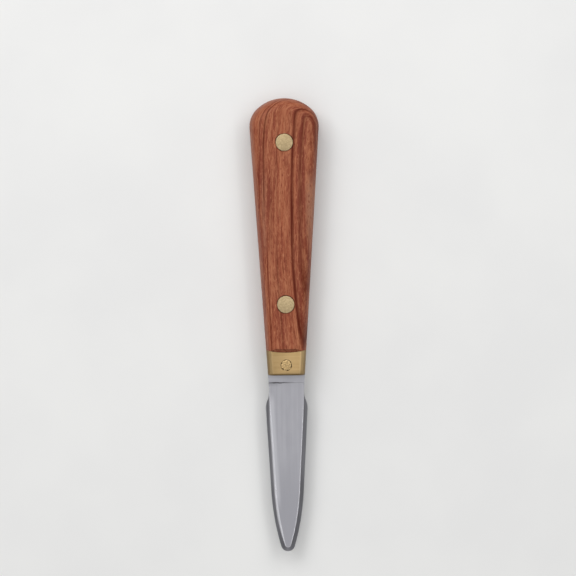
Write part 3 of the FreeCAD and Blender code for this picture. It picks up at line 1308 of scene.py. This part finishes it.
    def round_arrises(self, form: Form) -> None:
        """Rounds both arrises softly, then draws the rounding in where it is keen, and marks its faces for
        the brighter steel of a painted highlight.

        Args:
            form: Form to change.
        """
        edges = form.edges_where(self.is_arris)
        lines = [[vert.co.copy() for vert in edge.verts] for edge in edges]
        for vert in form.round_over(edges, self.soft_arris, self.arris_strips):
            spots = []
            for start, end in lines:
                share = intersect_point_line(vert.co, start, end)[1]
                spots.append(start.lerp(end, clamped(share)))
            nearest = min(spots, key=lambda spot: (spot - vert.co).length)
            vert.co = nearest.lerp(vert.co, self.softness(vert.co))
        form.mesh.normal_update()
        for face in form.mesh.faces:
            face.material_index = int(self.on_arris(face))

    def softness(self, point: Vector) -> float:
        """Share of the soft rounding that is left: all on the left, little on the right and at the tip.

        Args:
            point: Point of the rounding.

        Returns:
            The share.
        """
        keen = self.keen_arris / self.soft_arris
        if point.x > 0:
            return keen
        return keen + (1 - keen) * clamped((point.y - self.plan.tip_y - self.keen_run) / self.soft_run)

    def is_arris(self, edge: BMEdge) -> bool:
        """Tells whether an edge lies between the flat and a bevel."""
        low, high = sorted(face.normal.z for face in edge.link_faces)
        return high > self.flat_lean and self.bevel_leans[0] < low < self.bevel_leans[1]

    def on_arris(self, face: BMFace) -> bool:
        """Tells whether a face is one of the strips of a rounded arris."""
        in_front = all(vert.co.y < self.settled_y - NEAR for vert in face.verts)
        return in_front and self.strip_leans[0] < face.normal.z < self.strip_leans[1]

    def build(self, finish: MetalFinish, arris_highlight_finish: MetalFinish) -> None:
        """Builds the front half of the plate, grinds and bores it, and mirrors it to the back.

        Args:
            finish: The steel.
            arris_highlight_finish: The steel of the arris strips, its brighter colour a painted highlight.
        """
        plan = self.plan
        form = Form()
        steps, ricasso_y = self.draw(form)
        form.raise_outline(plan.mid_z, plan.inner_z)
        self.grind_faces(form, ricasso_y)
        self.grind_bevels(form, steps, ricasso_y)
        self.round_arrises(form)
        sizes = dict.fromkeys(plan.rivet_places, plan.barrel_hole) | {plan.pin_y: plan.pin_hole}
        for place, ring in form.start_holes(plan.inner_z, sizes, lambda point: point.y > self.start_y - NEAR):
            form.sink(ring, self.stock_half, place)
        form.open_flat(plan.mid_z)
        middle = Matrix.Translation((0, 0, -plan.mid_z))
        bmesh.ops.mirror(form.mesh, geom=form.everything(), matrix=middle, axis="Z", merge_dist=NEAR)
        form.finish("ground_blade", "blade", "blade_steel", finish.material(), arris_highlight_finish.material())


def make_pair(
    shape: Callable[[], Form], mid_z: float, kind: str, stuff: str, slot: str, materials: dict[Side, Material]
) -> None:
    """Makes a piece for the front and its twin for the back.

    Args:
        shape: Makes the form of the front piece.
        mid_z: Height of the plane between the two.
        kind: What the pieces are.
        stuff: What they are made of.
        slot: Material slot of the record.
        materials: The finish of each side.
    """
    for side, material in materials.items():
        form = shape()
        if side is Side.BACK:
            form.turn_to_back(mid_z)
        node = f"{side.value}_{kind}"
        form.finish(f"{node}_{stuff}", node, slot, material)


@dataclass
class Scales:
    """Two wooden scales, rounded over at the sides and the butt, sloping down to the brass in front."""

    plan: KnifePlan
    overrun: float = 1.0
    ramp_length: float = 1.3
    end_steps: int = 18
    head_hole: float = 3.20
    hole_break: float = 0.10

    @property
    def ahead_y(self) -> float:
        """Where the block ends before its end is rounded."""
        return self.plan.joint_y - self.overrun

    def shape(self) -> Form:
        """Makes the front scale.

        Returns:
            The form.
        """
        plan = self.plan
        form = Form()
        plan.draw_butt(form).run_to(plan.side_at(self.ahead_y), at(0, self.ahead_y))
        form.raise_outline(plan.inner_z, plan.top_z)
        form.round_over(form.edges_where(self.is_rim), plan.edge_radius, plan.edge_strips)
        self.round_end(form)
        self.bore(form)
        return form

    def is_rim(self, edge: BMEdge) -> bool:
        """Tells whether an edge runs along the top of the sides or the butt."""
        behind = any(vert.co.y > self.ahead_y + NEAR for vert in edge.verts)
        return behind and lies_at(edge, UP, self.plan.top_z)

    def round_end(self, form: Form) -> None:
        """Cuts the wood's rounded end and the slope above it, facet by facet.

        Args:
            form: Form to cut.
        """
        plan = self.plan
        radius = plan.joint_radius
        centre = at(0, plan.joint_y + radius, plan.plate_z)
        half_turn = math.asin(plan.side_at(plan.joint_y + plan.joint_sag).x / radius)
        step = 2 * half_turn / self.end_steps
        rise = plan.top_z - plan.plate_z
        for count in range(self.end_steps):
            turn = -half_turn + step * (count + 0.5)
            facing = at(math.sin(turn), -math.cos(turn))
            foot = centre + facing * (radius * math.cos(step / 2))
            form.grind(foot, facing)
            form.grind(foot, (facing * rise + UP * self.ramp_length).normalized())

    def bore(self, form: Form) -> None:
        """Bores the stepped holes of the rivets.

        Args:
            form: Form to bore.
        """
        plan = self.plan
        mouth = self.head_hole + self.hole_break
        bottoms: Edges = []
        for place, ring in form.start_holes(plan.top_z, dict.fromkeys(plan.rivet_places, mouth)):
            ring = form.sink(ring, self.hole_break, place, self.head_hole / mouth)
            ring = form.sink(ring, plan.head_depth - self.hole_break, place)
            ring = form.sink(ring, 0.0, place, plan.barrel_hole / self.head_hole)
            bottoms += form.sink(ring, plan.top_z - plan.inner_z - plan.head_depth, place)
        form.close_flat(form.open_flat(plan.inner_z) + bottoms)

    def build(self, front: WoodFinish, back: WoodFinish) -> None:
        """Builds both scales, each in its own piece of wood."""
        materials = {Side.FRONT: front.material(), Side.BACK: back.material()}
        make_pair(self.shape, self.plan.mid_z, "scale", "wood", "handle_wood", materials)


@dataclass
class Bolsters:
    """Two brass bolsters, faced lower than the wood, with the pin that holds them."""

    plan: KnifePlan
    least_side: float = 1.0
    soft_edge: float = 0.8
    soft_strips: int = 6
    soft_angle: float = 20.0
    side_fillet: float = 2.0
    fillet_steps: int = 10
    glue_line: float = 0.05
    station: float = 0.6
    pin_radius: float = 2.05
    pin_rim: float = 0.45
    rim_steps: int = 8
    pin_steps: int = 96
    peen_share: float = 0.66
    peen_limits: tuple[float, float] = (0.05, 1.4)
    peen_waves: tuple[tuple[int, float, float], ...] = ((6, 2.93, 0.55), (1, 0.75, 0.30), (13, 1.0, 0.12))

    @property
    def rear_y(self) -> float:
        """Where the rear end lies on the centre line."""
        return self.plan.joint_y - self.glue_line

    def shape(self) -> Form:
        """Makes the front bolster.

        Returns:
            The form.
        """
        plan = self.plan
        form = Form()
        drawn = form.line(at(0, self.rear_y))
        drawn.run_to(plan.side_at(self.rear_y), plan.throat, at(0, plan.front_y))
        form.raise_outline(plan.inner_z, plan.top_z)
        form.round_over(form.edges_where(self.is_side), plan.edge_radius, plan.edge_strips)
        form.grind(UP * plan.plate_z, UP)
        self.soften_sides(form)
        count = int(plan.side_at(plan.joint_y).x / self.station)
        for number in range(-count, count + 1):
            form.score(ACROSS * (number * self.station), ACROSS)
        self.hollow_rear(form)
        form.round_over(form.edges_where(self.is_front), self.soft_edge, self.soft_strips)
        place, ring = form.start_holes(plan.plate_z, {plan.pin_y: plan.pin_hole})[0]
        bottom = form.sink(ring, plan.plate_z - plan.inner_z, place)
        form.close_flat(form.open_flat(plan.inner_z) + bottom)
        return form

    def is_side(self, edge: BMEdge) -> bool:
        """Tells whether an edge runs along the top of a side."""
        first, second = edge.verts
        return lies_at(edge, UP, self.plan.top_z) and abs(first.co.y - second.co.y) > self.least_side

    def is_front(self, edge: BMEdge) -> bool:
        """Tells whether an edge runs round the front end, above the tang."""
        on_front = lies_at(edge, ALONG, self.plan.front_y) and not lies_at(edge, UP, self.plan.inner_z)
        return on_front and edge.calc_face_angle(0.0) > math.radians(self.soft_angle)

    def soften_sides(self, form: Form) -> None:
        """Softens the change from the face to the rounded sides, facet by facet.

        Args:
            form: Form to change.
        """
        plan = self.plan
        side = plan.side_normal
        bed = plan.top_z - plan.edge_radius
        depth = plan.plate_z - self.side_fillet - bed
        reach = math.sqrt((plan.edge_radius - self.side_fillet) ** 2 - depth ** 2)
        centre = plan.throat - side * (plan.edge_radius - reach) + UP * (bed + depth)
        full_lean = math.atan2(reach, depth)
        for count in range(self.fillet_steps):
            lean = full_lean * (count + 0.5) / self.fillet_steps
            facing = side * math.sin(lean) + UP * math.cos(lean)
            form.grind_both(centre + facing * self.side_fillet, facing)

    def hollow_rear(self, form: Form) -> None:
        """Curves the rear end to fit the wood's rounded end.

        Args:
            form: Form to change.
        """
        plan = self.plan
        radius = plan.joint_radius + self.glue_line
        centre_y = plan.joint_y + plan.joint_radius
        flat_half = plan.side_at(self.rear_y).x - plan.edge_radius
        for vert in form.mesh.verts:
            if vert.co.y > self.rear_y - NEAR:
                moved = centre_y - math.sqrt(radius ** 2 - vert.co.x ** 2) - vert.co.y
                vert.co.y += moved
                if abs(vert.co.x) > flat_half:
                    vert.co.x += math.copysign(moved * plan.side_slope, vert.co.x)

    def pin(self) -> Form:
        """Turns the pin with rounded rims.

        Returns:
            The form.
        """
        top = self.plan.plate_z
        bottom = 2 * self.plan.mid_z - top
        face = self.pin_radius - self.pin_rim
        high, low = top - self.pin_rim, bottom + self.pin_rim
        form = Form()
        drawn = form.line(at(0, 0, top))
        drawn.run_to(at(face, 0, top))
        drawn.turn_to(at(face, 0, high), at(self.pin_radius, 0, high), self.rim_steps, ALONG)
        drawn.run_to(at(self.pin_radius, 0, low))
        drawn.turn_to(at(face, 0, low), at(face, 0, bottom), self.rim_steps, ALONG)
        drawn.run_to(at(0, 0, bottom))
        form.turn_profile(self.plan.pin_y, self.pin_steps)
        self.peen(form)
        return form

    def peen(self, form: Form) -> None:
        """Spreads the pin's rim unevenly, as a hammer does, so that it closes its hole only in places.

        Args:
            form: Form of the pin.
        """
        middle = self.plan.mid_z
        reach = self.plan.plate_z - middle
        for vert in form.mesh.verts:
            drop = reach - abs(vert.co.z - middle)
            if NEAR < drop < self.pin_rim + NEAR:
                turn = math.atan2(vert.co.y - self.plan.pin_y, vert.co.x)
                spread = self.peen_share
                for count, start, strength in self.peen_waves:
                    spread += strength * math.sin(count * turn + start)
                height = reach - drop * clamped(spread, *self.peen_limits)
                vert.co.z = middle + math.copysign(height, vert.co.z - middle)

    def build(self, finish: MetalFinish, pin_finish: MetalFinish) -> None:
        """Builds both bolsters and the pin.

        Args:
            finish: The brass of the bolsters.
            pin_finish: The brass of the pin.
        """
        materials = dict.fromkeys(Side, finish.material())
        make_pair(self.shape, self.plan.mid_z, "bolster", "brass", "bolster_brass", materials)
        self.pin().finish("peened_pin", "bolster_pin", "bolster_brass", pin_finish.material())


@dataclass
class Rivets:
    """Two-piece rivets: a post from the front pressed into a barrel from the back."""

    plan: KnifePlan
    head_radius: float = 3.15
    rim_round: float = 0.12
    rim_steps: int = 4
    barrel_radius: float = 2.0
    bore_radius: float = 1.4
    post_radius: float = 1.38
    mouth_gap: float = 0.3
    post_end: float = 2.8
    post_chamfer: float = 0.3

    def half(self, at_y: float, face: float, inward: float, stem: Sequence[tuple[float, float]]) -> Form:
        """Turns one half of a rivet.

        Args:
            at_y: Place along the knife.
            face: Height of the head's face.
            inward: Direction from the face into the knife, 1 up or -1 down.
            stem: Radius and height of each corner behind the head, down to the axis.

        Returns:
            The form.
        """
        flat = self.head_radius - self.rim_round
        rim = face + inward * self.rim_round
        form = Form()
        drawn = form.line(at(0, 0, face))
        drawn.run_to(at(flat, 0, face))
        drawn.turn_to(at(flat, 0, rim), at(self.head_radius, 0, rim), self.rim_steps, ALONG)
        drawn.run_to(at(self.head_radius, 0, face + inward * self.plan.head_depth))
        drawn.run_to(*(at(radius, 0, height) for radius, height in stem))
        form.turn_profile(at_y)
        return form

    def build(self, finish: MetalFinish) -> None:
        """Builds both halves of both rivets.

        Args:
            finish: The rivets' brass.
        """
        material = finish.material()
        top, depth = self.plan.top_z, self.plan.head_depth
        mouth = top - depth - self.mouth_gap
        post, barrel, bore = self.post_radius, self.barrel_radius, self.bore_radius
        post_stem = (
            (post, top - depth),
            (post, self.post_end + self.post_chamfer),
            (post - self.post_chamfer, self.post_end),
            (0, self.post_end),
        )
        barrel_stem = ((barrel, depth), (barrel, mouth), (bore, mouth), (bore, depth), (0, depth))
        halves = {"post": (top, -1.0, post_stem), "barrel": (0.0, 1.0, barrel_stem)}
        for label, place in zip(("butt", "neck"), self.plan.rivet_places):
            for kind, sizes in halves.items():
                node = f"{label}_rivet_{kind}"
                self.half(place, *sizes).finish(node + "_brass", node, "rivet_brass", material)


@dataclass(frozen=True)
class Lamp:
    """A soft lamp that faces the knife: degrees from +X to +Y and from upright, metres and watts."""

    name: str
    bearing: float
    lean: float
    power: float
    width: float
    height: float = 0.9
    distance: float = 1.2

    def hang(self) -> None:
        """Hangs the lamp."""
        data = bpy.data.lights.new(self.name, "AREA")
        data.shape = "RECTANGLE"
        data.size, data.size_y = self.width, self.height
        data.energy = self.power
        lamp = bpy.data.objects.new(self.name, data)
        lamp.rotation_euler = (0, math.radians(self.lean), math.radians(self.bearing))
        lamp.location = lamp.rotation_euler.to_matrix() @ (UP * self.distance)
        lamp.visible_camera = False
        bpy.context.scene.collection.objects.link(lamp)


@dataclass
class Studio:
    """Pale floor, two soft lamps, two narrow strips, a sky darker at the sides and a camera above.

    Sizes are in metres, the camera's sensor in millimetres and its roll in degrees. The sky's spans are
    shares of its directions across and upwards.
    """

    aim: tuple[float, float, float] = (0.00088, 0.0136, 0.010)
    distance: float = 1.0
    frame_width: float = 0.212
    sensor_width: float = 36.0
    clip_end: float = 20.0
    roll: float = -0.55
    floor_half: float = 6.0
    floor_cells: int = 8
    floor_drop: float = 0.0001
    lamps: tuple[Lamp, ...] = (
        Lamp("key_lamp", bearing=125.0, lean=42.0, power=6.0, width=0.6),
        Lamp("fill_lamp", bearing=55.0, lean=42.0, power=3.8, width=0.6),
        Lamp("left_strip", bearing=180.0, lean=27.0, power=0.5, width=0.10),
        Lamp("right_strip", bearing=0.0, lean=27.0, power=0.8, width=0.10),
    )
    open_sky: Span = (0.55, 0.25, 0.0, 0.5)
    low_sky: Span = (0.45, 0.15)
    right_shade: Span = (-0.5, 0.6, -0.2, 0.5)
    side_sky: tuple[tuple[float, float], ...] = (
        (0.0, 0.80), (0.08, 0.70), (0.24, 0.45), (0.38, 0.20),
        (0.68, 0.20), (0.84, 0.60), (0.94, 0.92), (1.0, 0.95),
    )

    def floor(self) -> None:
        """Lays the floor."""
        mesh = bmesh.new()
        place = Matrix.Translation((0, 0, -self.floor_drop))
        cells = self.floor_cells
        bmesh.ops.create_grid(mesh, x_segments=cells, y_segments=cells, size=self.floor_half, matrix=place)
        data = bpy.data.meshes.new("floor")
        mesh.to_mesh(data)
        mesh.free()
        data.materials.append(FloorFinish().material())
        floor = bpy.data.objects.new("floor", data)
        bpy.context.scene.collection.objects.link(floor)
        log.info("floor laid")

    def surround(self) -> None:
        """Lights the scene from all round, darker at both sides between the horizon and the zenith."""
        world = bpy.data.worlds.new("studio")
        bpy.context.scene.world = world
        world.use_nodes = True
        graph = Graph(world.node_tree)
        across, _, height = graph.split(graph.add("TexCoord").outputs["Generated"])
        ahead = graph.span(graph.math("ABSOLUTE", across), *self.open_sky)
        shade = graph.times(graph.span(height, *self.low_sky), graph.span(across, *self.right_shade))
        level = graph.most(graph.ramp(height, self.side_sky), ahead)
        background = world.node_tree.nodes["Background"]
        graph.feed(background.inputs["Color"], graph.times(level, graph.math("SUBTRACT", 1.0, shade)))
        background.inputs["Strength"].default_value = 1.0

    def camera(self) -> None:
        """Places the camera over the knife."""
        data = bpy.data.cameras.new("camera")
        data.sensor_width = self.sensor_width
        data.lens = self.sensor_width * self.distance / self.frame_width
        data.clip_end = self.clip_end
        camera = bpy.data.objects.new("camera", data)
        camera.location = Vector(self.aim) + UP * self.distance
        camera.rotation_euler = (0, 0, math.radians(self.roll))
        bpy.context.scene.collection.objects.link(camera)
        bpy.context.scene.camera = camera

    def build(self) -> None:
        """Builds the studio."""
        self.floor()
        self.surround()
        for lamp in self.lamps:
            lamp.hang()
        self.camera()
        bpy.context.scene.view_settings.view_transform = "Standard"


def steel_finishes(blade: Blade) -> tuple[MetalFinish, MetalFinish]:
    """Chooses the blade's steel.

    Args:
        blade: The blade, for the places of its plunge and its arrises.

    Returns:
        The steel, and the brighter steel of the arris strips, a painted highlight.
    """
    satin = BladeSteel(
        "satin_steel",
        colour=(0.380, 0.377, 0.407),
        dull=(0.335, 0.333, 0.363),
        bright=(0.52, 0.52, 0.55),
        lines=LineRun.LENGTHWISE,
        roughness=0.30,
        line_depth=0.004,
        line_tone=0.18,
        plunge_y=blade.start_y,
        heel_arris=blade.heel - ACROSS * blade.bevel_width,
        fore_arris=blade.fore - ACROSS * blade.bevel_width,
    )
    # Brighter steel on the arris strips: a painted highlight along the arrises.
    arris_highlight = MetalFinish(
        "arris_highlight_steel",
        colour=(0.55, 0.55, 0.58),
        dull=(0.47, 0.47, 0.50),
        bright=(0.66, 0.66, 0.69),
        lines=LineRun.LENGTHWISE,
        roughness=0.28,
        line_depth=0.002,
        line_tone=0.2,
    )
    return satin, arris_highlight


def brass_finishes(plan: KnifePlan) -> tuple[MetalFinish, MetalFinish, MetalFinish]:
    """Chooses the brass.

    Args:
        plan: The plan, for the front of the bolsters.

    Returns:
        The brass of the bolsters, of their pin and of the rivets.
    """
    brushed = BolsterBrass(
        "brushed_brass",
        colour=(0.474, 0.322, 0.150),
        dull=(0.37, 0.248, 0.111),
        bright=(0.64, 0.46, 0.238),
        lines=LineRun.CROSSWISE,
        roughness=0.50,
        line_depth=0.010,
        line_tone=0.45,
        front_y=plan.front_y,
        # Colour of the painted shade on the bolsters.
        turned_away_shade=(0.24, 0.162, 0.075),
    )
    peened = MetalFinish(
        "peened_brass",
        colour=(0.48, 0.335, 0.160),
        dull=(0.28, 0.185, 0.08),
        bright=(0.66, 0.48, 0.26),
        lines=LineRun.CROSSWISE,
        roughness=0.34,
        line_depth=0.12,
        line_tone=0.3,
        grit=0.6,
    )
    sanded = MetalFinish(
        "sanded_brass",
        colour=(0.525, 0.405, 0.232),
        dull=(0.29, 0.215, 0.115),
        bright=(0.66, 0.52, 0.33),
        lines=LineRun.CROSSWISE,
        roughness=0.46,
        line_depth=0.010,
        line_tone=0.25,
        grit=0.62,
    )
    return brushed, peened, sanded


def wood_finishes(plan: KnifePlan) -> tuple[WoodFinish, WoodFinish]:
    """Chooses the wood.

    Args:
        plan: The plan, for the face of the wood and the places of the rivets.

    Returns:
        The wood of the front scale, and another piece of it for the back.
    """
    front = WoodFinish(
        "front_wood",
        plan.top_z,
        plan.rivet_places,
        through_veins=(Vein(2.45, 0.7, 1.2, 1.0), Vein(5.6, 1.2, 1.3, 0.62)),
        butt_veins=(Vein(-10.4, 0.4, 0.7, 0.6), Vein(-8.0, 0.45, 0.8, 0.85), Vein(-3.2, 0.5, 0.5, 0.25)),
        neck_veins=(Vein(-6.9, 0.4, 0.6, 0.55), Vein(-3.1, 0.4, 0.6, 0.5), Vein(0.2, 0.4, 0.5, 0.25)),
        mid_veins=(Vein(-5.2, 1.4, 1.4, 0.28), Vein(2.6, 0.6, 0.9, 0.3), Vein(6.1, 0.7, 0.7, 0.2)),
        light_bands=(Vein(-8.1, 1.5, 1.5, 0.5), Vein(8.2, 1.1, 1.4, 0.8)),
    )
    back = WoodFinish(
        "back_wood",
        0.0,
        plan.rivet_places,
        through_veins=(Vein(-2.1, 0.5, 0.7, 0.7), Vein(3.6, 0.8, 1.0, 0.45)),
        butt_veins=(Vein(7.6, 0.4, 0.7, 0.6), Vein(-6.4, 0.5, 0.8, 0.5)),
        neck_veins=(Vein(-5.2, 0.4, 0.6, 0.45), Vein(1.0, 0.4, 0.5, 0.3)),
        mid_veins=(Vein(4.9, 1.2, 1.4, 0.25),),
        light_bands=(Vein(-6.5, 1.2, 1.2, 0.5),),
    )
    return front, back


def main() -> None:
    """Builds the studio and the knife, piece by piece."""
    logging.basicConfig(level=logging.INFO, format="%(name)s: %(message)s")
    plan = KnifePlan.from_frame()
    blade = Blade(plan)
    bolster_brass, pin_brass, rivet_brass = brass_finishes(plan)
    Studio().build()
    blade.build(*steel_finishes(blade))
    Scales(plan).build(*wood_finishes(plan))
    Bolsters(plan).build(bolster_brass, pin_brass)
    Rivets(plan).build(rivet_brass)


if __name__ == "__main__":
    main()
